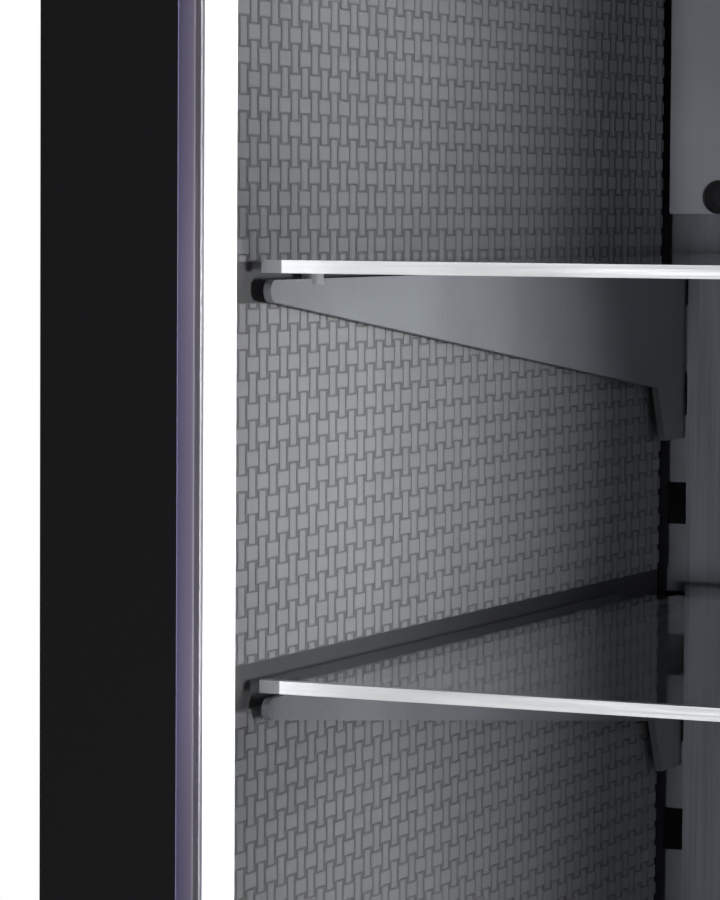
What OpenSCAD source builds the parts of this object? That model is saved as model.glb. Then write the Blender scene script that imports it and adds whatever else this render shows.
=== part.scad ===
// China cabinet with two framed glass doors, lit from both front posts,
// with glass shelves on brackets that hook into slotted standards.
// The origin is at the bottom centre of the whole object. The doors face -Y.

/* [Cabinet] */
// Width over the side panels
cabinet_w = 960; // [760:1:1200]
// Height from the floor to the top face
cabinet_h = 1850; // [1600:1:2230]
// Depth of the carcass without the doors
carcass_d = 488; // [410:1:590]
// Thickness of the outer side panels
side_t = 18; // [15:0.5:22]
// Thickness of the whole lit side wall, from its outer face to the liner's face
wall_t = 54; // [48:0.5:66]
// Thickness of the top and bottom panels
deck_t = 36; // [30:1:45]
// Thickness of the back board
back_t = 6; // [4:0.5:10]
// Thickness of the woven side liners
liner_t = 3; // [2.5:0.5:4]
// How deep the liners sit in the top and bottom panels
liner_groove = 6; // [4:0.5:8]
// Open gap between a liner's rear edge and the standard
liner_rear_gap = 13; // [8:0.5:16]

/* [Base] */
// Height of the plinth above the feet
plinth_h = 70; // [50:1:100]
// Thickness of the plinth boards
plinth_t = 18; // [15:0.5:22]
// How far the plinth stands back from the carcass front
plinth_setback = 40; // [25:1:60]
// Height of a levelling foot's pad
foot_h = 10; // [8:0.5:14]
// Radius of a levelling foot's pad
foot_r = 18; // [14:0.5:22]
// Radius of a levelling foot's stem
foot_stem_r = 4; // [3:0.5:5]
// How far a foot's stem goes into the bottom panel
foot_stem_grip = 20; // [12:1:28]
// Gap between a foot's pad and the plinth
foot_gap = 12; // [4:1:30]
// How far the plinth stands in from the side panels
plinth_inset = 12; // [4:1:30]

/* [Light posts] */
// Depth of the light post, front to back
post_d = 25.5; // [22:0.5:32]
// Thickness of the light diffuser
diffuser_t = 2; // [1.5:0.1:3]
// Depth of the light channel behind the diffuser
channel_depth = 14; // [10:0.5:18]
// Width of the light strip
strip_w = 10; // [8:0.5:12]
// Thickness of the light strip
strip_t = 1.6; // [1:0.1:2.5]

/* [Shelves] */
// Height of the third glass shelf's top face, from which the other shelves are counted
eye_shelf_z = 1180; // [1100:1:1250]
// How many slots the lowest shelf hangs below the third
shelf_1_slots = 11; // [6:1:16]
// How many slots the second shelf hangs below the third
shelf_2_slots = 3; // [3:1:4]
// How many slots the highest shelf hangs above the third
shelf_4_slots = 5; // [5:1:6]
// Thickness of a glass shelf
shelf_glass_t = 3.8; // [3:0.1:8]
// Open gap between a glass shelf and the standards
shelf_rear_gap = 76; // [12:1:120]
// Gap between a shelf's end and the liner
shelf_side_gap = 4.6; // [3:0.1:8]
// How far a shelf's front stands behind the light post
shelf_setback = 10; // [6:0.5:20]
// Front to back size of the shelf trim
trim_d = 4; // [3:0.1:6]
// Thickness of the lip under the glass
trim_lip_t = 0.8; // [0.6:0.1:1.6]
// Depth of the lip under the glass
trim_lip_d = 9; // [6:0.5:14]
// Length of the plastic cap on each end of the trim
end_cap_l = 8; // [5:0.5:12]

/* [Brackets] */
// Thickness of the bracket plate
bracket_t = 3; // [2:0.1:3.5]
// Gap between the liner's face and the bracket
bracket_gap = 4; // [3.2:0.1:4.2]
// How far the bracket's nose is behind the shelf's front
bracket_setback = 3; // [1:0.1:8]
// Height of the bracket at its rounded nose
bracket_nose_h = 8; // [6:0.1:12]
// Height of the lower edge's rear end above the hanger's foot
brow_rise = 24.2; // [10:0.1:40]
// How far the rear hanger reaches below its lower slot
hanger_heel = 10.4; // [4:0.1:20]
// Depth of the rear hanger at its foot
hanger_foot_d = 26; // [20:0.5:34]
// Height of the pads that carry the glass
pad_h = 3.4; // [2:0.1:6]
// Radius of the pads
pad_r = 4; // [3:0.1:5]
// How far the pads' centres are from the glass's front and rear
pad_inset = 41; // [30:1:60]

/* [Slotted standards] */
// Width of a standard
standard_w = 16; // [14:0.5:20]
// Depth of a standard
standard_d = 10.5; // [9:0.5:14]
// Sheet thickness of a standard
standard_t = 1.5; // [1.2:0.1:2]
// Distance from one slot to the next
slot_pitch = 50; // [40:1:60]
// Height of a slot
slot_h = 19.2; // [18:0.1:22]
// Width of a slot
slot_w = 10; // [9:0.1:11]
// How far the top of a slot is below the shelf it carries
slot_drop = 5.6; // [4:0.1:7]
// How far a slot's centre is from the bracket's middle, towards the liner
slot_offset = 2; // [1:0.1:2.5]
// How many slots above the third shelf the middle screw of a standard is
mid_screw_slots = 4; // [1:1:6]
// How far a standard reaches behind the liner's face plane
standard_tuck = 5; // [4:0.1:6]

/* [Back lining and wiring cover] */
// Thickness of the inner back panel
lining_t = 2.5; // [2:0.1:4]
// Gap between the liner's face plane and the inner back panel
lining_gap = 8.7; // [8:0.1:10]
// How far the wiring cover stands in front of the inner back panel
cover_stand = 7.5; // [6:0.5:10]
// Sheet thickness of the wiring cover
cover_t = 1.5; // [1.2:0.1:2]
// Gap between the liner's face plane and the cover
cover_gap = 2; // [1.5:0.1:4]
// Height of the wiring cover
cover_h = 125; // [110:1:130]
// Height of the cover's lower edge above the third shelf
cover_above_shelf = 16.8; // [15:0.1:25]
// Radius of the cover's domed studs
stud_r = 7.6; // [5:0.1:8.5]
// Distance from a stud to the cover's side edge
stud_side = 23.2; // [18:0.1:40]
// Distance from a stud to the cover's lower or upper edge
stud_edge = 7.6; // [7:0.1:12]

/* [Light driver and button] */
// Width of the light driver
driver_w = 150; // [120:1:180]
// Height of the light driver
driver_h = 46; // [40:1:60]
// Radius of the push button
button_r = 8; // [6:0.1:10]
// Travel of the push button
button_travel = 2; // [1.5:0.1:2.5]
// How far the button stands proud of the cover
button_proud = 3; // [2.8:0.1:5]
// Radial clearance round the button
button_clear = 0.1; // [0.08:0.01:0.2]

/* [Doors] */
// Thickness of a door frame
door_t = 18; // [16:0.5:22]
// Width of the hinge stile
hinge_stile_w = 54; // [48:0.5:66]
// Width of the meeting stile
meeting_stile_w = 54; // [45:0.5:66]
// Height of the rails
rail_h = 54; // [45:0.5:66]
// Gap between a closed door and the carcass
door_gap = 2; // [1.6:0.1:3]
// Gap between the two doors
meeting_gap = 3; // [2:0.1:4]
// Gap above and below the doors
door_end_gap = 2; // [1.5:0.1:4]
// Thickness of the door glass
door_glass_t = 4; // [3:0.1:5]
// Width of the rear rebate that holds the glass
rebate_w = 12; // [10:0.5:14]
// Thickness of the glazing rubber on each side of the glass
bead_t = 1.2; // [1:0.1:1.5]
// How far the glass stops short of the rebate's side
glass_play = 2; // [1.5:0.1:3]
// Width of the door seal
seal_w = 10; // [8:0.5:12]
// Clearance in front of and beside moving faces
clearance = 0.3; // [0.25:0.05:0.5]

/* [Hinges] */
// Length of a hinge
hinge_l = 70; // [60:1:90]
// Thickness of a hinge leaf
leaf_t = 2; // [1.5:0.1:2.5]
// Width of a hinge leaf on the door or the carcass
leaf_w = 15; // [12:0.5:15.5]
// Radius of the hinge knuckles
knuckle_r = 4; // [3.5:0.1:5]
// Radius of the hinge pin
pin_r = 1.8; // [1.5:0.1:2.2]
// Radial clearance of the pin in the knuckles
pin_clear = 0.05; // [0.02:0.01:0.1]
// Distance from the cabinet's top or bottom panel to the nearest hinge
hinge_inset = 120; // [90:1:160]
// Height of the middle hinge's centre
hinge_mid_z = 880; // [800:1:880]
// Radius of the countersunk screw heads
screw_head_r = 3.4; // [3:0.1:3.6]
// Length of the screws
screw_l = 12; // [10:0.5:13]

/* [Handles] */
// How far a handle stands out from the door
handle_stand = 34; // [30:1:45]
// Length of a handle
handle_l = 300; // [200:1:400]
// Front to back and side to side size of the handle bar
handle_bar = 10; // [8:0.5:12]
// Height of the handle's centre
handle_z = 1000; // [900:1:1100]

/* [Hidden] */
$fn = 48;

eps = 0.01;
screw_r = 1.7;
standard_screw_grip = back_t - 1;
shelf_tops = [for (k = [-shelf_1_slots, -shelf_2_slots, 0, shelf_4_slots])
    eye_shelf_z + k * slot_pitch];

// Depth stations, from the handle's face at the front to the back board
total_d = handle_stand + door_t + door_gap + carcass_d;
back_y = total_d / 2;
carcass_y = back_y - carcass_d;
door_back_y = carcass_y - door_gap;
door_front_y = door_back_y - door_t;
liner_y = carcass_y + post_d;
standard_back_y = back_y - back_t;
standard_y = standard_back_y - standard_d;
lining_y = standard_y - lining_t;
cover_y = lining_y - cover_stand;
liner_back_y = standard_y - liner_rear_gap;

// Widths and heights
half_w = cabinet_w / 2;
wall_x = half_w - wall_t;
base_z = foot_h + plinth_h;
floor_z = base_z + deck_t;
ceiling_z = cabinet_h - deck_t;

// Base: the feet stand inside the plinth's corners
plinth_half = half_w - plinth_inset;
plinth_y = carcass_y + plinth_setback;
foot_x = plinth_half - plinth_t - foot_r - foot_gap;
foot_ys = [plinth_y + plinth_t + foot_r + foot_gap, back_y - plinth_t - foot_r - foot_gap];

// Shelves
shelf_half = wall_x - shelf_side_gap;
shelf_y = liner_y + shelf_setback;
glass_y = shelf_y + trim_d;
shelf_back_y = standard_y - shelf_rear_gap;
bracket_drop = shelf_glass_t + pad_h;
bracket_nose_y = shelf_y + bracket_setback;
bracket_x = wall_x - bracket_gap - bracket_t;
pad_ys = [shelf_y + pad_inset, shelf_back_y - pad_inset];

// Standards: the slots are counted from the third shelf
slot_top = eye_shelf_z - slot_drop;
slots_above = floor((ceiling_z - 20 - slot_top) / slot_pitch);
slots_below = floor((slot_top - slot_h - floor_z - 20) / slot_pitch);
standard_x = wall_x + standard_tuck - standard_w / 2;
slot_x = bracket_x + bracket_t / 2 + slot_offset;
standard_screw_zs = [for (k = [1 - slots_above, -mid_screw_slots, slots_below - 1])
    slot_top - slot_h / 2 - (k + 0.5) * slot_pitch];

// Wiring cover, driver and button
cover_half = wall_x - cover_gap;
cover_z = eye_shelf_z + cover_above_shelf;
driver_z = cover_z + cover_h / 2;
driver_front_y = cover_y + cover_t + 2;
driver_margin = 4;
grommet_r = 12;

// Doors
door_half = half_w;
door_z0 = base_z + door_end_gap;
door_z1 = cabinet_h - door_end_gap;
door_h = door_z1 - door_z0;
door_inner = meeting_gap / 2;
pane_x0 = door_inner + meeting_stile_w;
pane_x1 = door_half - hinge_stile_w;
rebate_d = door_glass_t + 2 * bead_t;
rebate_y = door_back_y - rebate_d;
glass_bite = rebate_w - glass_play;
pane_y = door_back_y - rebate_d / 2;
seal_x = max(wall_x, pane_x1);

// Hinges: the pin stands outside the corner between door and carcass
pin_x = half_w + knuckle_r + clearance;
pin_y = carcass_y - door_gap / 2;
hinge_zs = [floor_z + hinge_inset, hinge_mid_z, ceiling_z - hinge_inset];
knuckle_l = hinge_l / 5;
leaf_x = half_w - leaf_w;
leaf_screw_x = half_w - leaf_w / 2;
leaf_screw_zs = [for (z = hinge_zs, s = [-1, 0, 1]) z + s * hinge_l / 3];

// ---- shared shapes ----

// A block from its lowest to its highest corner
module block(lo, hi) {
    translate(lo) cube(hi - lo);
}

// Draws its children on the left when side is -1
module on_side(side) {
    if (side < 0) mirror([1, 0, 0]) children();
    else children();
}

// A countersunk screw whose head's face is at the origin and whose tip points to +Z
module countersunk_screw(length) {
    rotate_extrude() polygon([[0, 0], [screw_head_r, 0], [screw_r, screw_head_r - screw_r],
        [screw_r, length - screw_r], [0, length]]);
}

// The hole for such a screw
module countersunk_hole(length) {
    translate([0, 0, -eps]) rotate_extrude() polygon([[0, 0], [screw_head_r + eps, 0],
        [screw_r, screw_head_r - screw_r + eps], [screw_r, length], [0, length]]);
}

// ---- carcass ----

module side_panel(side) {
    color([0.1, 0.1, 0.11]) on_side(side) difference() {
        block([half_w - side_t, carcass_y, base_z + deck_t],
            [half_w, standard_back_y, ceiling_z]);
        for (z = hinge_zs) block([leaf_x, carcass_y - eps, z - hinge_l / 2],
            [half_w + eps, carcass_y + leaf_t, z + hinge_l / 2]);
        for (z = leaf_screw_zs) translate([leaf_screw_x, carcass_y, z])
            rotate([-90, 0, 0]) cylinder(r = screw_r, h = screw_l);
    }
}

// The top and bottom panels are grooved for the liners; up is 1 for the bottom panel
module deck(z0, up) {
    color([0.12, 0.12, 0.13]) difference() {
        block([-half_w, carcass_y, z0], [half_w, standard_back_y, z0 + deck_t]);
        for (side = [-1, 1]) on_side(side)
            block([wall_x, liner_y, up > 0 ? z0 + deck_t - liner_groove : z0 - eps],
                [wall_x + liner_t, liner_back_y, up > 0 ? z0 + deck_t + eps : z0 + liner_groove]);
        if (up > 0) for (x = [-foot_x, foot_x], y = foot_ys)
            translate([x, y, z0 - eps]) cylinder(r = foot_stem_r, h = foot_stem_grip + eps);
    }
}

module top_panel() deck(ceiling_z, -1);

module bottom_panel() deck(base_z, 1);

module back_board() {
    color([0.2, 0.2, 0.21]) difference() {
        block([-half_w, standard_back_y, base_z], [half_w, back_y, cabinet_h]);
        translate([0, standard_back_y - eps, driver_z + driver_h]) rotate([-90, 0, 0])
            cylinder(r = grommet_r, h = back_t + 2 * eps);
        for (x = [-standard_x, standard_x], z = standard_screw_zs)
            translate([x, standard_back_y - eps, z]) rotate([-90, 0, 0])
                cylinder(r = screw_r, h = standard_screw_grip + eps);
    }
}

module plinth_frame() {
    color([0.08, 0.08, 0.09]) difference() {
        block([-plinth_half, plinth_y, foot_h], [plinth_half, back_y, base_z]);
        block([-plinth_half + plinth_t, plinth_y + plinth_t, foot_h - eps],
            [plinth_half - plinth_t, back_y - plinth_t, base_z + eps]);
    }
}

module levelling_feet() {
    color([0.25, 0.25, 0.26])
    for (x = [-foot_x, foot_x], y = foot_ys) translate([x, y, 0]) {
        rotate_extrude() polygon([[0, 0], [foot_r, 0], [foot_r, foot_h * 0.4],
            [foot_r * 0.45, foot_h], [0, foot_h]]);
        cylinder(r = foot_stem_r, h = base_z + foot_stem_grip);
    }
}

// ---- side walls and light ----

module light_post(side) {
    lip = 2.2;
    color([0.75, 0.75, 0.77]) on_side(side) difference() {
        block([wall_x, carcass_y, floor_z], [half_w - side_t, liner_y, ceiling_z]);
        block([wall_x - eps, carcass_y - eps, floor_z - eps],
            [wall_x + diffuser_t, liner_y + eps, ceiling_z + eps]);
        block([wall_x, carcass_y + lip, floor_z - eps],
            [wall_x + diffuser_t + channel_depth, liner_y - lip, ceiling_z + eps]);
    }
}

module light_diffusers() {
    color([0.97, 0.97, 1]) for (side = [-1, 1]) on_side(side)
        block([wall_x, carcass_y + clearance, floor_z],
            [wall_x + diffuser_t, liner_y - clearance, ceiling_z]);
}

module light_strips() {
    mid_y = (carcass_y + liner_y) / 2;
    color([0.9, 0.9, 0.8]) for (side = [-1, 1]) on_side(side)
        block([wall_x + diffuser_t + channel_depth - strip_t, mid_y - strip_w / 2, floor_z + 10],
            [wall_x + diffuser_t + channel_depth, mid_y + strip_w / 2, ceiling_z - 10]);
}

module woven_liner(side) {
    color([0.42, 0.42, 0.45]) on_side(side)
        block([wall_x, liner_y, floor_z - liner_groove],
            [wall_x + liner_t, liner_back_y, ceiling_z + liner_groove]);
}

// ---- back ----

module standard(side) {
    x0 = standard_x - standard_w / 2;
    color([0.3, 0.3, 0.32]) on_side(side) difference() {
        block([x0, standard_y, floor_z], [x0 + standard_w, standard_back_y, ceiling_z]);
        block([x0 + standard_t, standard_y + standard_t, floor_z - eps],
            [x0 + standard_w - standard_t, standard_back_y + eps, ceiling_z + eps]);
        for (k = [-slots_above : slots_below])
            block([slot_x - slot_w / 2, standard_y - eps, slot_top - k * slot_pitch - slot_h],
                [slot_x + slot_w / 2, standard_y + standard_t + eps, slot_top - k * slot_pitch]);
        for (z = standard_screw_zs) translate([standard_x, standard_y, z])
            rotate([-90, 0, 0]) cylinder(r = screw_r, h = standard_d);
    }
}

// The screws of the standards and of the hinge leaves on the carcass
module frame_screws() {
    color([0.7, 0.7, 0.7]) for (side = [-1, 1]) on_side(side) {
        for (z = leaf_screw_zs) translate([leaf_screw_x, carcass_y, z]) rotate([-90, 0, 0])
            countersunk_screw(screw_l);
        for (z = standard_screw_zs) translate([standard_x, standard_y, z]) rotate([-90, 0, 0])
            rotate_extrude() polygon([[0, -1.6], [2.6, -1.4], [3, 0], [screw_r, 0],
                [screw_r, standard_d + standard_screw_grip],
                [0, standard_d + standard_screw_grip]]);
    }
}

module inner_back_panel() {
    half = wall_x - lining_gap;
    color([0.3, 0.31, 0.34]) difference() {
        block([-half, lining_y, floor_z], [half, standard_y, ceiling_z]);
        block([-driver_w / 2 - driver_margin, lining_y - eps, driver_z - driver_h / 2 - driver_margin],
            [driver_w / 2 + driver_margin, standard_y + eps,
                driver_z + driver_h / 2 + driver_margin]);
    }
}

module wiring_cover() {
    color([0.4, 0.4, 0.43]) difference() {
        block([-cover_half, cover_y, cover_z], [cover_half, lining_y, cover_z + cover_h]);
        block([-cover_half + cover_t, cover_y + cover_t, cover_z + cover_t],
            [cover_half - cover_t, lining_y + eps, cover_z + cover_h - cover_t]);
        for (x = [-1, 1], z = [cover_z + stud_edge, cover_z + cover_h - stud_edge])
            translate([x * (cover_half - stud_side), cover_y - eps, z]) rotate([-90, 0, 0])
                cylinder(r = screw_r, h = cover_t + 2 * eps);
        translate([0, cover_y - eps, driver_z]) rotate([-90, 0, 0])
            cylinder(r = button_r + button_clear, h = cover_t + 2 * eps);
    }
}

module cover_studs() {
    dome_h = stud_r * 0.5;
    dome_r = (stud_r * stud_r + dome_h * dome_h) / (2 * dome_h);
    color([0.04, 0.04, 0.05])
    for (x = [-1, 1], z = [cover_z + stud_edge, cover_z + cover_h - stud_edge])
        translate([x * (cover_half - stud_side), cover_y, z]) rotate([90, 0, 0]) {
            intersection() {
                translate([0, 0, dome_h - dome_r]) sphere(r = dome_r);
                cylinder(r = stud_r, h = dome_h);
            }
            translate([0, 0, -cover_stand]) cylinder(r = screw_r, h = cover_stand + 1);
        }
}

module light_driver() {
    color([0.85, 0.85, 0.86]) difference() {
        block([-driver_w / 2, driver_front_y, driver_z - driver_h / 2],
            [driver_w / 2, standard_back_y, driver_z + driver_h / 2]);
        translate([0, driver_front_y - eps, driver_z]) rotate([-90, 0, 0])
            cylinder(r = button_r * 0.6 + button_clear, h = 8);
    }
}

module light_button() {
    cap_back_y = driver_front_y - button_travel - clearance;
    color([0.05, 0.05, 0.06]) translate([0, cap_back_y, driver_z]) rotate([90, 0, 0]) {
        cap_h = cap_back_y - cover_y + button_proud;
        rotate_extrude() polygon([[0, 0], [button_r, 0], [button_r, cap_h - 0.8],
            [button_r - 0.8, cap_h], [0, cap_h]]);
        translate([0, 0, -5]) cylinder(r = button_r * 0.6, h = 5 + 1);
    }
}

module cable_grommet() {
    color([0.05, 0.05, 0.05]) translate([0, back_y, driver_z + driver_h]) rotate([90, 0, 0])
        rotate_extrude() polygon([[grommet_r - 5, 0], [grommet_r, 0], [grommet_r, back_t],
            [grommet_r + 3, back_t], [grommet_r + 3, back_t + 2], [grommet_r - 5, back_t + 2]]);
}

// ---- shelves ----

module shelf_glass(i) {
    top = shelf_tops[i];
    color([0.7, 0.8, 0.8, 0.4]) block([-shelf_half, glass_y, top - shelf_glass_t],
        [shelf_half, shelf_back_y, top]);
}

module shelf_trim(i) {
    top = shelf_tops[i];
    under = top - shelf_glass_t;
    color([0.85, 0.85, 0.85]) translate([-shelf_half + end_cap_l, 0, 0])
        rotate([90, 0, 90]) linear_extrude(2 * (shelf_half - end_cap_l))
            polygon([[shelf_y, under - trim_lip_t], [glass_y + trim_lip_d, under - trim_lip_t],
                [glass_y + trim_lip_d, under], [glass_y, under], [glass_y, top], [shelf_y, top]]);
}

module trim_end_caps() {
    color([0.6, 0.6, 0.62]) for (top = shelf_tops, side = [-1, 1]) on_side(side) {
        block([shelf_half - end_cap_l, shelf_y, top - shelf_glass_t - trim_lip_t],
            [shelf_half, glass_y, top]);
    }
}

// Side view of a bracket: y is depth and the second value is height from the shelf's top
module bracket_outline() {
    top = -bracket_drop;
    nose = bracket_nose_h / 2;
    heel = -slot_drop - slot_pitch - slot_h - hanger_heel;
    foot_y = standard_y - hanger_foot_d;
    polygon(concat(
        [for (a = [90 : 15 : 270]) [bracket_nose_y + nose + nose * cos(a),
            top - nose + nose * sin(a)]],
        [[foot_y - 10, heel + brow_rise], [foot_y, heel], [standard_y, heel], [standard_y, top]]));
    for (k = [0, 1]) translate([standard_y, -slot_drop - k * slot_pitch - slot_h])
        bracket_hook();
}

// A hook that rests on the lower edge of a slot and drops behind the sheet
module bracket_hook() {
    polygon([[-2, 0], [standard_t + 0.3, 0], [standard_t + 0.3, -7], [standard_t + 3.5, -5],
        [standard_t + 3.5, 8], [standard_t + 1.5, 10], [-2, 10]]);
}

module bracket(side, i) {
    color([0.5, 0.51, 0.55]) on_side(side) translate([bracket_x, 0, shelf_tops[i]])
        rotate([90, 0, 90]) linear_extrude(bracket_t) bracket_outline();
}

// A pad sits astride the bracket's top edge and carries the glass
module shelf_pads() {
    straddle = 2;
    color([0.9, 0.9, 0.92]) for (top = shelf_tops, side = [-1, 1], y = pad_ys)
        on_side(side) translate([bracket_x + bracket_t / 2, y, top - bracket_drop])
            difference() {
                translate([0, 0, -straddle]) cylinder(r = pad_r, h = pad_h + straddle);
                translate([-bracket_t / 2, -pad_r - 1, -straddle - 1])
                    cube([bracket_t, 2 * pad_r + 2, straddle + 1]);
            }
}

// ---- doors: drawn as the right door, whose hinges are at +X ----

module door_stile(x0, x1, rebate_x0, rebate_x1) {
    difference() {
        block([x0, door_front_y, door_z0], [x1, door_back_y, door_z1]);
        block([rebate_x0, rebate_y, door_z0 + rail_h - rebate_w],
            [rebate_x1, door_back_y + eps, door_z1 - rail_h + rebate_w]);
    }
}

module hinge_stile(side) {
    color([0.1, 0.1, 0.11]) on_side(side) difference() {
        door_stile(pane_x1, door_half, pane_x1 - eps, pane_x1 + rebate_w);
        for (z = hinge_zs) block([leaf_x, door_back_y - leaf_t, z - hinge_l / 2],
            [half_w + eps, door_back_y + eps, z + hinge_l / 2]);
        for (z = leaf_screw_zs) translate([leaf_screw_x, door_back_y, z])
            rotate([90, 0, 0]) cylinder(r = screw_r, h = screw_l);
    }
}

module meeting_stile(side) {
    color([0.1, 0.1, 0.11]) on_side(side)
        door_stile(door_inner, pane_x0, pane_x0 - rebate_w, pane_x0 + eps);
}

module door_rails(side) {
    color([0.1, 0.1, 0.11]) on_side(side) for (z = [door_z0, door_z1 - rail_h]) difference() {
        block([pane_x0, door_front_y, z], [pane_x1, door_back_y, z + rail_h]);
        block([pane_x0 - eps, rebate_y, z > door_z0 ? z - eps : z + rail_h - rebate_w],
            [pane_x1 + eps, door_back_y + eps, z > door_z0 ? z + rebate_w : z + rail_h + eps]);
    }
}

// The edges of the glass, as the frame's opening grown by a bite
function pane_lo(bite) = [pane_x0 - bite, door_z0 + rail_h - bite];
function pane_hi(bite) = [pane_x1 + bite, door_z1 - rail_h + bite];

module pane(bite, thickness) {
    lo = pane_lo(bite);
    hi = pane_hi(bite);
    block([lo[0], pane_y - thickness / 2, lo[1]], [hi[0], pane_y + thickness / 2, hi[1]]);
}

module door_glass(side) {
    color([0.8, 0.85, 0.85, 0.3]) on_side(side) pane(glass_bite, door_glass_t);
}

// A rubber channel round the edge of the glass
module glazing_bead(side) {
    color([0.55, 0.53, 0.6]) on_side(side) difference() {
        pane(rebate_w, rebate_d);
        pane(glass_bite, door_glass_t);
        pane(-eps, rebate_d + 1);
    }
}

// A seal on the door's rear face that meets the carcass's front all round
module door_seal(side) {
    seal_t = door_gap - clearance;
    color([0.9, 0.9, 0.93]) on_side(side) difference() {
        block([door_inner + 2, door_back_y, floor_z - seal_w],
            [seal_x + seal_w, door_back_y + seal_t, ceiling_z + seal_w]);
        block([door_inner + 2 + seal_w, door_back_y - eps, floor_z],
            [seal_x, door_back_y + seal_t + eps, ceiling_z]);
    }
}

module door_handle(side) {
    x = door_inner + meeting_stile_w / 2;
    post_z = handle_l / 2 - 30;
    color([0.12, 0.12, 0.13]) on_side(side) {
        block([x - handle_bar / 2, door_front_y - handle_stand, handle_z - handle_l / 2],
            [x + handle_bar / 2, door_front_y - handle_stand + handle_bar, handle_z + handle_l / 2]);
        for (s = [-1, 1]) translate([x, door_front_y, handle_z + s * post_z])
            rotate([90, 0, 0]) cylinder(r = handle_bar * 0.4, h = handle_stand - handle_bar + 1);
    }
}

// ---- hinges ----

// One leaf with its knuckles. Its leaf lies from the pin towards the cabinet's middle, on the
// +Y side of the pin, and turns is the list of knuckles that it owns, from 0 at the bottom
module hinge_leaf(turns) {
    near = door_gap / 2;
    others = [for (k = [0 : 4]) if (len(search(k, turns)) == 0) k];
    difference() {
        union() {
            block([-pin_x + leaf_x, near, -hinge_l / 2], [-knuckle_r * 0.6, near + leaf_t, hinge_l / 2]);
            for (k = turns) translate([0, 0, -hinge_l / 2 + k * knuckle_l])
                cylinder(r = knuckle_r, h = knuckle_l);
        }
        for (k = others) translate([0, 0, -hinge_l / 2 + k * knuckle_l - clearance])
            cylinder(r = knuckle_r + clearance, h = knuckle_l + 2 * clearance);
        translate([0, 0, -hinge_l / 2 - 1]) cylinder(r = pin_r + pin_clear, h = hinge_l + 2);
        for (s = [-1, 0, 1]) translate([leaf_screw_x - pin_x, near, s * hinge_l / 3])
            rotate([-90, 0, 0]) countersunk_hole(leaf_t + 1);
    }
}

module hinge_frame_leaves() {
    color([0.15, 0.15, 0.16]) for (side = [-1, 1]) on_side(side) for (z = hinge_zs)
        translate([pin_x, pin_y, z]) hinge_leaf([0, 2, 4]);
}

module door_leaves(side) {
    color([0.15, 0.15, 0.16]) on_side(side) for (z = hinge_zs)
        translate([pin_x, pin_y, z]) mirror([0, 1, 0]) hinge_leaf([1, 3]);
}

module hinge_pins() {
    head_h = 2;
    color([0.2, 0.2, 0.21]) for (side = [-1, 1]) on_side(side) for (z = hinge_zs)
        translate([pin_x, pin_y, z - hinge_l / 2 - head_h]) {
            cylinder(r = pin_r, h = hinge_l + 2 * head_h);
            for (end = [0, hinge_l + head_h]) translate([0, 0, end])
                cylinder(r = knuckle_r - 0.5, h = head_h);
        }
}

module door_screws(side) {
    color([0.2, 0.2, 0.21]) on_side(side) for (z = leaf_screw_zs)
        translate([leaf_screw_x, door_back_y, z]) rotate([90, 0, 0]) countersunk_screw(screw_l);
}

side_panel(-1);  // left_side_panel
side_panel(1);  // right_side_panel
top_panel();
bottom_panel();
back_board();
plinth_frame();
levelling_feet();
light_post(-1);  // left_light_post
light_post(1);  // right_light_post
woven_liner(-1);  // left_woven_liner
woven_liner(1);  // right_woven_liner
inner_back_panel();
wiring_cover();
cover_studs();
standard(-1);  // left_standard
standard(1);  // right_standard
frame_screws();
light_diffusers();
light_strips();
light_driver();
light_button();
cable_grommet();
for (i = [0 : 3]) {
    shelf_glass(i);
    shelf_trim(i);
    bracket(-1, i);
    bracket(1, i);
}
trim_end_caps();
shelf_pads();
hinge_frame_leaves();
hinge_pins();
for (side = [-1, 1]) {
    name = side < 0 ? "left_" : "right_";
    hinge_stile(side);
    meeting_stile(side);
    door_rails(side);
    door_glass(side);
    glazing_bead(side);
    door_handle(side);
    door_leaves(side);
    door_seal(side);
    door_screws(side);
}
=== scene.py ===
"""Looks of the lit china cabinet with glass doors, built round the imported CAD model."""
import math

import bpy
import numpy as np
from mathutils import Matrix, Vector


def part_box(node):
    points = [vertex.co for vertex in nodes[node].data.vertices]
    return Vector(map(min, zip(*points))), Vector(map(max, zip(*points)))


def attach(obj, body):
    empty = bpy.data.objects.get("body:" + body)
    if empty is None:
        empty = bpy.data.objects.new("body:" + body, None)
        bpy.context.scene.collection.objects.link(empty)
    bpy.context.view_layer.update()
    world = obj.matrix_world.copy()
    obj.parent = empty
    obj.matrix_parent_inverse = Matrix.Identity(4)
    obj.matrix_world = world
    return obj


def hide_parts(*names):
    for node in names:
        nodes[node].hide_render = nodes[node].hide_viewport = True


MM = 0.001

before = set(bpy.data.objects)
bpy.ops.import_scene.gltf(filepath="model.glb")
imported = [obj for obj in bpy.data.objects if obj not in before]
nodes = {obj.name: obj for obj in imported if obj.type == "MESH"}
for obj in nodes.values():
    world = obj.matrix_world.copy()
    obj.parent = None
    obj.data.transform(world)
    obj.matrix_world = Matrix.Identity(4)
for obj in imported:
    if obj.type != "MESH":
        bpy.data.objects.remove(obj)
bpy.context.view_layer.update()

# Places that everything else is measured from
LINER_LO, LINER_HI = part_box("left_woven_liner")
WALL_X = LINER_HI.x
LINER_Y = LINER_LO.y
EYE_SHELF_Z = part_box("shelf_glass_3")[1].z
FLOOR_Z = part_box("bottom_panel")[1].z
CEILING_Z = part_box("top_panel")[0].z

# The camera, measured from the liner's front edge and the third shelf's top
CAMERA_RIGHT = 0.6217
CAMERA_FRONT = 1.2523
CAMERA_ABOVE = 0.0190
CAMERA_LENS = 158.07
CAMERA_YAW = 24.606
CAMERA_PITCH = -3.521
CAMERA_ROLL = 0.356

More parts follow.
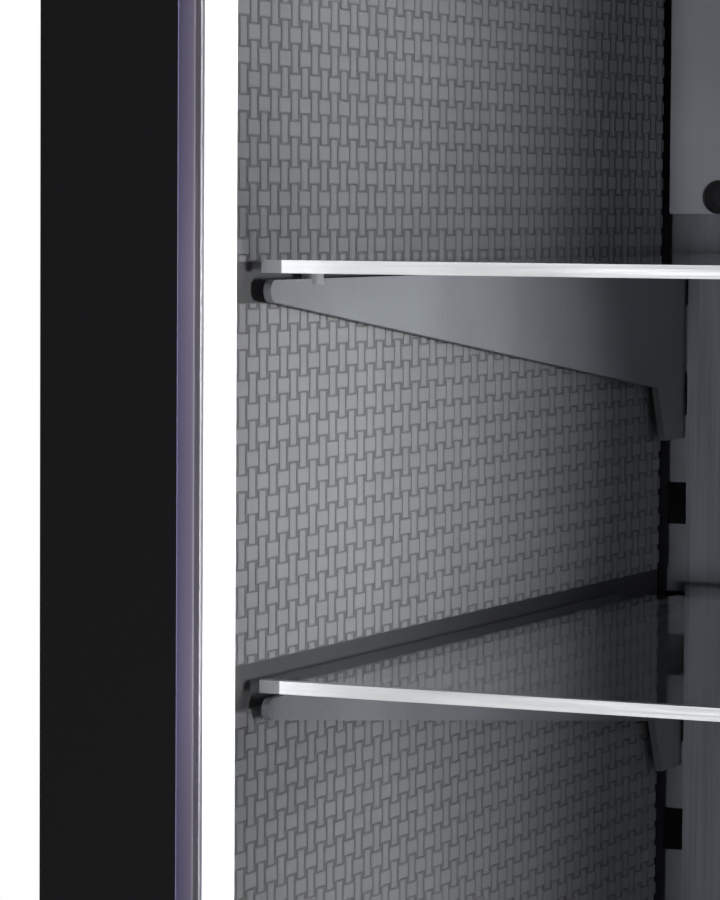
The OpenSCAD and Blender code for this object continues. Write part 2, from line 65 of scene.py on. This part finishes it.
# The stage: the floor ends before the photo's view reaches it
FLOOR_R = 3.2
FLOOR_SIDES = 96

# The light that the bands throw across onto each liner
WASH_COLOUR = (0.985, 0.985, 1)
WASH_OFF_WALL = 0.012
WASH_BEHIND_FRONT = 0.085
WASH_WIDTH = 0.03
WASH_SPREAD = 38
# Its watts per metre of height below the second shelf, up to the third, and above
WASH_LOW, WASH_EYE, WASH_HIGH = 0.66, 2.0, 0.88

# Colours of the stile's return, from front to rear: a violet-grey paint that pales towards the LED
# post as painted light
RETURN_SHADED_FRONT = (0.26, 0.24, 0.42)
RETURN_HALF_LIT_MIDDLE = (0.46, 0.40, 0.56)
RETURN_LIT_REAR = (0.86, 0.82, 0.93)

# The basketweave of the side liners: its pitch, its height and the place of one strap
WEAVE_STEP = 8.45 * MM
WEAVE_RELIEF = 0.8 * MM
WEAVE_FIRST_Y = 5.0 * MM
WEAVE_FIRST_Z = 4.85 * MM
# Half the depth and half the height of a strap where it shows
ACROSS_HALF = (4.8 * MM, 2.95 * MM)
UPRIGHT_HALF = (2.6 * MM, 5.4 * MM)
# How much narrower the rounded top of an upright strap is on each side
ROUNDING = 0.9 * MM
# How far the liner's plain dark band, a painted shadow of the shelf's end and bracket, reaches below
# and above each shelf's top face
SHELF_SHADOW_BAND = (10.6 * MM, 5.3 * MM)
EYE_SHELF_SHADOW_BAND = (15.4 * MM, -0.8 * MM)
SHELF_SHADOW_BANDS = (SHELF_SHADOW_BAND, SHELF_SHADOW_BAND, EYE_SHELF_SHADOW_BAND, SHELF_SHADOW_BAND)


# ---- camera, lights and stage ----


def make_camera():
    data = bpy.data.cameras.new("camera")
    data.sensor_width = 36
    data.lens = CAMERA_LENS
    data.clip_start = 0.05
    data.clip_end = 60
    camera = bpy.data.objects.new("camera", data)
    bpy.context.scene.collection.objects.link(camera)
    place = Vector((WALL_X + CAMERA_RIGHT, LINER_Y - CAMERA_FRONT, EYE_SHELF_Z + CAMERA_ABOVE))
    turn = Matrix.Rotation(math.radians(CAMERA_YAW), 4, "Z")
    tilt = Matrix.Rotation(math.radians(90 + CAMERA_PITCH), 4, "X")
    roll = Matrix.Rotation(math.radians(CAMERA_ROLL), 4, "Z")
    camera.matrix_world = Matrix.Translation(place) @ turn @ tilt @ roll
    bpy.context.scene.camera = camera


def area_light(name, place, aim, size, power, colour=(1, 1, 1), spread=180, glossy=True):
    data = bpy.data.lights.new(name, "AREA")
    data.shape = "RECTANGLE"
    data.size, data.size_y = size
    data.energy = power
    data.color = colour
    data.spread = math.radians(spread)
    light = bpy.data.objects.new(name, data)
    bpy.context.scene.collection.objects.link(light)
    light.location = place
    light.rotation_mode = "QUATERNION"
    light.rotation_quaternion = Vector(aim).to_track_quat("-Z", "Y")
    light.visible_camera = False
    light.visible_glossy = glossy
    return light


def make_world():
    """White to the camera, and a dim even studio to everything else."""
    world = bpy.data.worlds.new("studio")
    bpy.context.scene.world = world
    world.use_nodes = True
    tree = world.node_tree
    tree.nodes.clear()
    out = tree.nodes.new("ShaderNodeOutputWorld")
    mix = tree.nodes.new("ShaderNodeMixShader")
    path = tree.nodes.new("ShaderNodeLightPath")
    seen = tree.nodes.new("ShaderNodeBackground")
    seen.inputs["Color"].default_value = (1, 1, 1, 1)
    unseen = tree.nodes.new("ShaderNodeBackground")
    unseen.inputs["Color"].default_value = (0.86, 0.9, 1, 1)
    unseen.inputs["Strength"].default_value = 0.02
    tree.links.new(path.outputs["Is Camera Ray"], mix.inputs[0])
    tree.links.new(unseen.outputs[0], mix.inputs[1])
    tree.links.new(seen.outputs[0], mix.inputs[2])
    tree.links.new(mix.outputs[0], out.inputs["Surface"])


def only_on(light, *names):
    """Keeps a light for these nodes alone, as a flag or a small reflector does in a studio."""
    collection = bpy.data.collections.new(light.name + "_receivers")
    for name in names:
        collection.objects.link(nodes[name] if isinstance(name, str) else name)
    light.light_linking.receiver_collection = collection


def make_lights():
    """Each wall's wash and stile light, then the studio's own three."""
    low_shelf_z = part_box("shelf_glass_2")[1].z
    heights = (
        (FLOOR_Z, low_shelf_z, WASH_LOW),
        (low_shelf_z, EYE_SHELF_Z, WASH_EYE),
        (EYE_SHELF_Z, CEILING_Z, WASH_HIGH),
    )
    wash_y = LINER_Y + WASH_BEHIND_FRONT
    for side, name in ((-1, "left"), (1, "right")):
        # Across the cabinet, from just clear of the far wall's brackets to the liner
        far_x = -side * (abs(WALL_X) - WASH_OFF_WALL)
        for number, (lo, hi, power) in enumerate(heights):
            area_light(f"wash_{name}_{number}", (far_x, wash_y, (lo + hi) / 2), (side, 0, 0),
                       (WASH_WIDTH, hi - lo), power * (hi - lo), WASH_COLOUR,
                       spread=WASH_SPREAD, glossy=False)
        # Onto the stile's return and the rubber behind it alone
        stile_light = area_light(f"stile_{name}", (-side * 1.6, -1.2, 1.1), (side * 0.9, 0.43, 0),
                                 (0.6, 2.0), 0.95, (0.97, 0.95, 1), spread=70, glossy=False)
        only_on(stile_light, name + "_hinge_stile", name + "_glazing_bead", name + "_door_seal")
    front_light = area_light("straight_front", (0, -3, 1.15), (0, 1, 0), (1.1, 1.7), 4.4,
                             spread=4, glossy=False)
    only_on(front_light, "inner_back_panel", "wiring_cover", "cover_studs", "left_standard",
            "right_standard", "top_panel", "bottom_panel", "plinth_frame",
            *per_side("hinge_stile", "meeting_stile", "door_rails", "door_handle", "light_post"))
    box_light = area_light("front_left", (-1.05, -2.9, 1.5), (0.25, 0.95, -0.1), (1.0, 2.4), 23)
    only_on(box_light, *numbered("shelf_trim"), "trim_end_caps", "cover_studs",
            *per_side("door_handle"))
    top_light = area_light("top", (0.4, -0.8, 3.4), (-0.1, 0.25, -1), (2.2, 2.2), 45)
    only_on(top_light, make_floor(), "top_panel", "left_side_panel", "right_side_panel",
            "plinth_frame", "levelling_feet", "back_board",
            *per_side("meeting_stile", "door_rails", "door_handle"))


def make_floor():
    """A round pale floor."""
    turn = 2 * math.pi / FLOOR_SIDES
    points = [(FLOOR_R * math.cos(k * turn), FLOOR_R * math.sin(k * turn), 0)
              for k in range(FLOOR_SIDES)]
    mesh = bpy.data.meshes.new("floor")
    mesh.from_pydata(points, [], [range(FLOOR_SIDES)])
    floor = bpy.data.objects.new("floor", mesh)
    bpy.context.scene.collection.objects.link(floor)
    floor.data.materials.append(plain("floor", (0.78, 0.78, 0.78), 0.6))
    return floor


# ---- materials ----


def plain(name, colour, roughness, metallic=0.0, specular=0.5):
    """A principled material, which the functions below add detail to."""
    material = bpy.data.materials.new(name)
    material.use_nodes = True
    shader = material.node_tree.nodes["Principled BSDF"]
    shader.inputs["Base Color"].default_value = (*colour, 1)
    shader.inputs["Roughness"].default_value = roughness
    shader.inputs["Metallic"].default_value = metallic
    shader.inputs["Specular IOR Level"].default_value = specular
    return material


class Nodes:
    """Short names for building one material's nodes."""

    def __init__(self, material):
        self.tree = material.node_tree
        self.shader = self.tree.nodes["Principled BSDF"]

    def new(self, kind, **settings):
        node = self.tree.nodes.new("ShaderNode" + kind)
        for key, value in settings.items():
            setattr(node, key, value)
        return node

    def link(self, start, end):
        self.tree.links.new(start, end)

    def place(self, stretch=(1, 1, 1)):
        """Positions in the row frame, in metres, stretched for a grain."""
        coords = self.new("TexCoord")
        mapping = self.new("Mapping")
        mapping.inputs["Scale"].default_value = stretch
        self.link(coords.outputs["Object"], mapping.inputs["Vector"])
        return mapping.outputs[0]

    def noise(self, vector, scale, detail=4.0, roughness=0.55):
        node = self.new("TexNoise")
        node.inputs["Scale"].default_value = scale
        node.inputs["Detail"].default_value = detail
        node.inputs["Roughness"].default_value = roughness
        self.link(vector, node.inputs["Vector"])
        return node.outputs["Fac"]

    def ramp(self, value, stops):
        """stops is a list of (position, grey or colour)."""
        node = self.new("ValToRGB")
        elements = node.color_ramp.elements
        while len(elements) < len(stops):
            elements.new(0.5)
        for element, (position, tone) in zip(elements, stops):
            element.position = position
            colour = (tone, tone, tone) if isinstance(tone, (int, float)) else tone
            element.color = (*colour, 1)
        self.link(value, node.inputs[0])
        return node.outputs["Color"]

    def remap(self, value, lo, hi, to_lo, to_hi):
        node = self.new("MapRange")
        for index, number in enumerate((lo, hi, to_lo, to_hi)):
            node.inputs[index + 1].default_value = number
        self.link(value, node.inputs[0])
        return node.outputs[0]

    def bump(self, height, distance, strength=1.0):
        node = self.new("Bump")
        node.inputs["Strength"].default_value = strength
        node.inputs["Distance"].default_value = distance
        self.link(height, node.inputs["Height"])
        self.link(node.outputs[0], self.shader.inputs["Normal"])

    def colour(self, output):
        self.link(output, self.shader.inputs["Base Color"])

    def roughness(self, output):
        self.link(output, self.shader.inputs["Roughness"])

    def axis(self, index):
        """One coordinate of the place, in metres."""
        split = self.new("SeparateXYZ")
        self.link(self.place(), split.inputs[0])
        return split.outputs[index]


def powder_coat(name, colour, roughness=0.5, grain=0.00012, grain_scale=1400, specular=0.5):
    """Paint with a fine, slightly rough skin."""
    material = plain(name, colour, roughness, specular=specular)
    n = Nodes(material)
    place = n.place()
    skin = n.noise(place, grain_scale, 3)
    cloud = n.noise(place, 14, 3)
    low = tuple(c * 0.9 for c in colour)
    high = tuple(c * 1.08 for c in colour)
    n.colour(n.ramp(cloud, [(0.35, low), (0.65, high)]))
    n.roughness(n.remap(skin, 0.3, 0.7, roughness * 0.88, roughness * 1.1))
    n.bump(skin, grain)
    return material


def brushed(name, colour, roughness, stretch, metallic=1.0):
    """Metal with fine brush lines along the axis that stretch leaves small."""
    material = plain(name, colour, roughness, metallic)
    n = Nodes(material)
    lines = n.noise(n.place(stretch), 900, 2)
    n.colour(n.ramp(lines, [(0.3, tuple(c * 0.86 for c in colour)), (0.7, colour)]))
    n.roughness(n.remap(lines, 0.3, 0.7, roughness * 0.8, roughness * 1.25))
    n.bump(lines, 0.00004)
    return material


def grained(name, dark, light, roughness):
    """Satin panel with a fine upright grain."""
    material = plain(name, light, roughness)
    n = Nodes(material)
    fine = n.noise(n.place((1, 1, 0.02)), 420, 5, 0.65)
    broad = n.noise(n.place((1, 1, 0.08)), 60, 3)
    mixed = n.new("Math", operation="MULTIPLY_ADD")
    mixed.inputs[1].default_value = 0.45
    n.link(broad, mixed.inputs[0])
    n.link(fine, mixed.inputs[2])
    n.colour(n.ramp(mixed.outputs[0], [(0.5, dark), (0.92, light)]))
    n.roughness(n.remap(fine, 0.3, 0.7, roughness * 0.85, roughness * 1.15))
    n.bump(fine, 0.0001)
    return material


def clear_glass(name, tint, gloss_roughness=0.02, reflect=1.0, index=1.5):
    """Thin clear glass: what is behind shows through, and the surface reflects by Fresnel."""
    material = bpy.data.materials.new(name)
    material.use_nodes = True
    tree = material.node_tree
    tree.nodes.clear()
    out = tree.nodes.new("ShaderNodeOutputMaterial")
    mix = tree.nodes.new("ShaderNodeMixShader")
    through = tree.nodes.new("ShaderNodeBsdfTransparent")
    through.inputs["Color"].default_value = (*tint, 1)
    gloss = tree.nodes.new("ShaderNodeBsdfGlossy")
    gloss.inputs["Roughness"].default_value = gloss_roughness
    gloss.inputs["Color"].default_value = (reflect, reflect, reflect, 1)
    fresnel = tree.nodes.new("ShaderNodeFresnel")
    # Fresnel turns the index over on a back face, so it is turned over beforehand there
    face = tree.nodes.new("ShaderNodeNewGeometry")
    either = tree.nodes.new("ShaderNodeMapRange")
    either.inputs["To Min"].default_value = index
    either.inputs["To Max"].default_value = 1 / index
    tree.links.new(face.outputs["Backfacing"], either.inputs["Value"])
    tree.links.new(either.outputs[0], fresnel.inputs["IOR"])
    tree.links.new(fresnel.outputs[0], mix.inputs[0])
    tree.links.new(through.outputs[0], mix.inputs[1])
    tree.links.new(gloss.outputs[0], mix.inputs[2])
    tree.links.new(mix.outputs[0], out.inputs["Surface"])
    return material


def glowing(name, colour, strength):
    material = plain(name, colour, 0.5)
    shader = material.node_tree.nodes["Principled BSDF"]
    shader.inputs["Emission Color"].default_value = (*colour, 1)
    shader.inputs["Emission Strength"].default_value = strength
    return material


def depth_painted_shading(name, front_y, back_y, stops):
    """Satin skin whose colour changes from the front of the piece to its rear: painted light and shade
    that follow the depth.
    """
    material = plain(name, stops[-1][1], 0.5, specular=0.3)
    n = Nodes(material)
    depth = n.remap(n.axis(1), front_y, back_y, 0, 1)
    n.colour(n.ramp(depth, stops))
    skin = n.noise(n.place(), 1100, 3)
    n.roughness(n.remap(skin, 0.3, 0.7, 0.45, 0.58))
    n.bump(skin, 0.00004)
    return material


def stile_black_painted_light(name, colour):
    """Black lacquer. The return that faces the light is a violet-grey strip, whose paling to the rear
    is painted light.
    """
    material = plain(name, colour, 0.55, specular=0.25)
    n = Nodes(material)
    skin = n.noise(n.place(), 1100, 3)
    front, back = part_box("left_hinge_stile")[0].y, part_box("left_hinge_stile")[1].y
    depth = n.remap(n.axis(1), front, back, 0, 1)
    # The return's ramp, dark at the front and pale at the rear, is painted light from the LED post
    strip = n.ramp(depth, [(0.02, RETURN_SHADED_FRONT), (0.55, RETURN_HALF_LIT_MIDDLE), (0.95, RETURN_LIT_REAR)])
    side = n.new("Math", operation="ABSOLUTE")
    n.link(n.axis(0), side.inputs[0])
    inner = n.new("Math", operation="COMPARE")
    inner.inputs[1].default_value = abs(WALL_X)
    inner.inputs[2].default_value = 0.3 * MM
    n.link(side.outputs[0], inner.inputs[0])
    # The rebate behind it, seen through the pane's edge, is painted as pale as the glazing rubber:
    # painted light
    behind = n.new("Math", operation="GREATER_THAN")
    behind.inputs[1].default_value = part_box("left_door_glass")[0].y - 0.3 * MM
    n.link(n.axis(1), behind.inputs[0])
    shallow = n.new("Math", operation="LESS_THAN")
    shallow.inputs[1].default_value = abs(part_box("left_door_glass")[0].x) + 2 * MM
    n.link(side.outputs[0], shallow.inputs[0])
    rebate = n.new("Math", operation="MULTIPLY")
    n.link(behind.outputs[0], rebate.inputs[0])
    n.link(shallow.outputs[0], rebate.inputs[1])
    pale = n.new("Math", operation="MAXIMUM")
    n.link(inner.outputs[0], pale.inputs[0])
    n.link(rebate.outputs[0], pale.inputs[1])
    mix = n.new("Mix", data_type="RGBA")
    mix.inputs["A"].default_value = (*colour, 1)
    n.link(pale.outputs[0], mix.inputs["Factor"])
    n.link(strip, mix.inputs["B"])
    n.colour(mix.outputs["Result"])
    n.bump(skin, 0.00006)
    n.roughness(n.remap(skin, 0.3, 0.7, 0.5, 0.62))
    return material


def woven_material(name, colour, roughness):
    """Satin grey embossed sheet."""
    material = plain(name, colour, roughness)
    n = Nodes(material)
    place = n.place()
    skin = n.noise(place, 1600, 3)
    cloud = n.noise(place, 22, 4)
    low = tuple(c * 0.93 for c in colour)
    high = tuple(c * 1.05 for c in colour)
    n.colour(n.ramp(cloud, [(0.3, low), (0.7, high)]))
    n.roughness(n.remap(skin, 0.3, 0.7, roughness * 0.85, roughness * 1.15))
    n.bump(skin, 0.00003)
    return material


# ---- pieces ----


def mesh_piece(name, points, faces, material, body, *replaced):
    mesh = bpy.data.meshes.new(name)
    mesh.from_pydata(points, [], faces)
    mesh.update()
    piece = bpy.data.objects.new(name, mesh)
    bpy.context.scene.collection.objects.link(piece)
    mesh.materials.append(material)
    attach(piece, body)
    if replaced:
        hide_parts(*replaced)
    return piece


def weave_pads(lo_y, hi_y, lo_z, hi_z):
    """Centres and half sizes of the raised strap faces, clipped to the sheet."""
    first_column = -int((LINER_Y + WEAVE_FIRST_Y - lo_y) / WEAVE_STEP) - 1
    columns = np.arange(first_column, int((hi_y - lo_y) / WEAVE_STEP) + 2)
    anchor_z = EYE_SHELF_Z + WEAVE_FIRST_Z
    rows = np.arange(int((lo_z - anchor_z) / WEAVE_STEP) - 1, int((hi_z - anchor_z) / WEAVE_STEP) + 2)
    column, row = np.meshgrid(columns, rows)
    column, row = column.ravel(), row.ravel()
    across = (column + row) % 2 == 0
    y = LINER_Y + WEAVE_FIRST_Y + column * WEAVE_STEP
    z = anchor_z + row * WEAVE_STEP
    half_y = np.where(across, ACROSS_HALF[0], UPRIGHT_HALF[0])
    half_z = np.where(across, ACROSS_HALF[1], UPRIGHT_HALF[1])
    y0, y1 = np.clip(y - half_y, lo_y, hi_y), np.clip(y + half_y, lo_y, hi_y)
    z0, z1 = np.clip(z - half_z, lo_z, hi_z), np.clip(z + half_z, lo_z, hi_z)
    kept = (y1 - y0 > MM) & (z1 - z0 > MM)
    return y0[kept], y1[kept], z0[kept], z1[kept], across[kept]


def woven_stretches(lo_z, hi_z):
    """Heights between which the liner is woven, from the bottom up."""
    tops = [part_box(f"shelf_glass_{k}")[1].z for k in range(1, 5)]
    # The gaps between the woven stretches are the painted shadow bands beside the shelves
    starts = [lo_z] + [top + up for top, (down, up) in zip(tops, SHELF_SHADOW_BANDS)]
    ends = [top - down for top, (down, up) in zip(tops, SHELF_SHADOW_BANDS)] + [hi_z]
    return list(zip(starts, ends))


def woven_liner(side, woven, groove, band):
    """The liner's sheet with a raised pad for each strap that shows."""
    node = "left_woven_liner" if side < 0 else "right_woven_liner"
    lo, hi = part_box(node)
    face_x = abs(WALL_X)
    base_x = face_x + WEAVE_RELIEF
    back_x = face_x + (hi.x - lo.x)
    stretches = woven_stretches(lo.z, hi.z)
    pads = [weave_pads(lo.y, hi.y, z0, z1) for z0, z1 in stretches]
    y0, y1, z0, z1, across = [np.concatenate(values) for values in zip(*pads)]
    # Rings of a pad from its foot to its top: how far in it is, and its distance from the middle
    rings = ((0.0, base_x), (0.00022, face_x + 0.28 * MM), (0.00062, face_x))
    # An upright strap is rounded across, so its top is narrow
    round_in = np.where(across, 0, ROUNDING)
    count = len(y0)
    points = []
    for inset, x in rings:
        ring = np.empty((count, 4, 3))
        ring[:, :, 0] = side * x
        inset_y = inset + (round_in if x == face_x else 0)
        ring[:, (0, 3), 1] = (y0 + inset_y)[:, None]
        ring[:, (1, 2), 1] = (y1 - inset_y)[:, None]
        ring[:, (0, 1), 2] = (z0 + inset)[:, None]
        ring[:, (2, 3), 2] = (z1 - inset)[:, None]
        points.append(ring)
    points = np.concatenate(points, axis=1).reshape(-1, 3)
    faces = []
    for ring in (0, 4):
        for k in range(4):
            a, b = ring + k, ring + (k + 1) % 4
            faces.append((a, b, b + 4, a + 4))
    faces.append((8, 9, 10, 11))
    faces = np.array(faces)
    if side > 0:
        faces = faces[:, ::-1]
    pad_faces = (faces[None] + 12 * np.arange(count)[:, None, None]).reshape(-1, 4).tolist()
    sheet_points, sheet_faces, sheet_slots = liner_sheet(side, lo, hi, base_x, back_x, stretches)
    start = len(points)
    all_points = points.tolist() + sheet_points
    all_faces = pad_faces + [[start + k for k in face] for face in sheet_faces]
    piece = mesh_piece(node + "_weave", all_points, all_faces, woven, "cabinet", node)
    piece.data.materials.append(groove)
    piece.data.materials.append(band)
    indices = [0] * len(pad_faces) + sheet_slots
    piece.data.polygons.foreach_set("material_index", indices)
    return piece


def liner_sheet(side, lo, hi, base_x, back_x, stretches):
    """The sheet behind the pads: one closed box whose face is split at the painted shadow bands.

    Its slots are 1 for the sheet between straps (painted shade) and 2 for a painted shadow band; the
    pads use 0.
    """
    levels = sorted({z for stretch in stretches for z in stretch})
    points, faces, slots = [], [], []
    for z in levels:
        points += [(side * base_x, lo.y, z), (side * base_x, hi.y, z)]
        points += [(side * back_x, hi.y, z), (side * back_x, lo.y, z)]
    for k in range(len(levels) - 1):
        a, b = 4 * k, 4 * k + 4
        for edge in range(4):
            near, far = edge, (edge + 1) % 4
            faces.append([a + near, a + far, b + far, b + near])
            slots.append(1 + k % 2 if edge == 0 else 1)
    top = 4 * (len(levels) - 1)
    faces += [[3, 2, 1, 0], [top, top + 1, top + 2, top + 3]]
    slots += [1, 1]
    if side > 0:
        faces = [face[::-1] for face in faces]
    return points, faces, slots


def soften(name, width, segments=2):
    """A small bevel, so that a CAD node's edges catch the light."""
    bevel = nodes[name].modifiers.new("soft_edges", "BEVEL")
    bevel.width = width
    bevel.segments = segments
    bevel.limit_method = "ANGLE"
    bevel.angle_limit = math.radians(40)
    bevel.harden_normals = False


def paint(material, *names):
    for name in names:
        for slot in nodes[name].material_slots:
            slot.material = material


def per_side(*endings):
    return [f"{side}_{ending}" for side in ("left", "right") for ending in endings]


def numbered(*starts):
    return [f"{start}_{k}" for start in starts for k in range(1, 5)]


def make_materials():
    black = (0.0105, 0.0105, 0.0115)
    paint(
        stile_black_painted_light("black_lacquer_painted_light", black),
        *per_side("hinge_stile", "meeting_stile", "door_rails"),
    )
    paint(
        powder_coat("carcass_black", (0.012, 0.012, 0.013), 0.5, 0.00006, 900, 0.3),
        "left_side_panel", "right_side_panel", "top_panel", "bottom_panel", "plinth_frame",
    )
    paint(powder_coat("back_board", (0.05, 0.05, 0.052), 0.6), "back_board")
    paint(brushed("anodised", (0.62, 0.62, 0.64), 0.38, (1, 1, 0.02)), *per_side("light_post"))
    paint(grained("slate_panel", (0.055, 0.057, 0.066), (0.105, 0.109, 0.125), 0.42),
          "inner_back_panel")
    paint(powder_coat("cover_satin", (0.17, 0.175, 0.195), 0.32, 0.00002, 1800), "wiring_cover")
    paint(powder_coat("gloss_black", (0.012, 0.012, 0.013), 0.12, 0.00001, 700),
          "cover_studs", "light_button")
    paint(powder_coat("standard_grey", (0.085, 0.088, 0.1), 0.42), "left_standard", "right_standard")
    paint(powder_coat("blackened", (0.03, 0.03, 0.032), 0.35), "frame_screws", "hinge_pins",
          "hinge_frame_leaves", *per_side("door_screws", "door_leaves"))
    paint(glowing("diffuser", (0.97, 0.975, 1.0), 1.1), "light_diffusers")
    paint(glowing("strip", (1.0, 0.97, 0.9), 0.5), "light_strips")
    paint(powder_coat("driver_white", (0.7, 0.7, 0.71), 0.4, 0.00004), "light_driver")
    paint(powder_coat("rubber_black", (0.012, 0.012, 0.012), 0.7, 0.00006, 900), "cable_grommet")
    # The glazing rubber pales from front to rear as painted light from the LED post beside it
    bead_lo, bead_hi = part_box("left_glazing_bead")
    paint(depth_painted_shading("rubber_bead_painted_light", bead_lo.y, bead_hi.y, [(0.02, RETURN_LIT_REAR), (0.9, (0.97, 0.93, 1.0))]),
          *per_side("glazing_bead"))
    paint(powder_coat("rubber_pale", (0.42, 0.40, 0.45), 0.5), *per_side("door_seal"))
    paint(clear_glass("shelf_glass", (0.93, 0.955, 0.95), index=1.55), *numbered("shelf_glass"))
    paint(clear_glass("door_glass", (0.985, 0.99, 0.99), reflect=0.1), *per_side("door_glass"))
    paint(brushed("trim_steel", (0.86, 0.86, 0.87), 0.4, (0.02, 1, 1)), *numbered("shelf_trim"))
    paint(powder_coat("cap_grey", (0.40, 0.40, 0.42), 0.4), "trim_end_caps")
    paint(brushed("pad_bright", (0.85, 0.85, 0.87), 0.4, (1, 1, 1), 0.6), "shelf_pads")
    paint(powder_coat("bracket_grey", (0.32, 0.333, 0.355), 0.45, 0.0005, 700),
          *numbered("left_bracket", "right_bracket"))
    paint(powder_coat("handle_black", (0.02, 0.02, 0.021), 0.35), *per_side("door_handle"))
    paint(powder_coat("foot", (0.05, 0.05, 0.052), 0.5), "levelling_feet")


def soften_edges():
    for name in per_side("hinge_stile", "meeting_stile", "door_rails"):
        soften(name, 0.7 * MM)
    for name in ("left_side_panel", "right_side_panel", "top_panel", "bottom_panel", "plinth_frame"):
        soften(name, 0.8 * MM)
    for name in numbered("left_bracket", "right_bracket"):
        soften(name, 0.6 * MM, 3)
    for name in numbered("shelf_trim"):
        soften(name, 0.35 * MM)
    for name in ("trim_end_caps", "wiring_cover", "left_standard", "right_standard"):
        soften(name, 0.3 * MM)
    for name in per_side("door_handle"):
        soften(name, 1.5 * MM, 3)


make_camera()
make_world()
make_lights()
make_materials()
weave = woven_material("woven_sheet", (0.34, 0.34, 0.35), 0.36)
# The sheet between the straps is painted darker than the straps, as painted shade in its recesses
groove = woven_material("woven_groove_painted_shade", (0.18, 0.18, 0.187), 0.45)
# Each shelf's plain band is a painted shadow, darker towards the rear
band = depth_painted_shading("painted_shelf_shadow", LINER_Y, LINER_Y + 0.4, [
    (0.03, (0.12, 0.12, 0.121)), (0.06, (0.1, 0.1, 0.102)), (0.6, (0.05, 0.05, 0.052)),
])
for side in (-1, 1):
    woven_liner(side, weave, groove, band)
soften_edges()

bpy.context.scene.view_settings.view_transform = "Standard"
